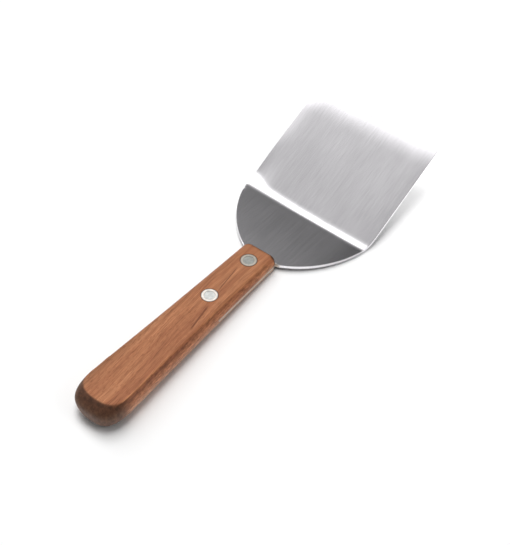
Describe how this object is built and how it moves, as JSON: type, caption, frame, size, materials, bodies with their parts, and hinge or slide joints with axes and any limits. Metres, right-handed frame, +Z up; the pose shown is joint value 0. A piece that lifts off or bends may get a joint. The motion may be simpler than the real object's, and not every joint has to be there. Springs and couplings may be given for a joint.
{
  "type": "mini turner",
  "caption": "Small offset kitchen turner: a folded steel sheet blade with a rounded shoulder, held in a slotted wooden handle by flush two-part rivets.",
  "frame": {"origin": "on the surface that the turner lies on, under the middle of its length and width", "axes": "+X from the butt of the handle to the front edge of the blade, +Y across the blade to the left, +Z up out of the surface"},
  "size_m": [0.189, 0.0652, 0.0201],
  "materials": {
    "blade_steel": "fine brushed lines along the blade, plain sheared edges",
    "handle_wood": "oiled reddish brown hardwood, grain along the handle, dark end grain",
    "rivet_metal": "satin, turned flush with the wood"
  },
  "bodies": {
    "root": {"blade": "blade_steel", "handle": "handle_wood", "front_rivet_female": "rivet_metal", "front_rivet_male": "rivet_metal", "rear_rivet_female": "rivet_metal", "rear_rivet_male": "rivet_metal"}
  },
  "joints": []
}
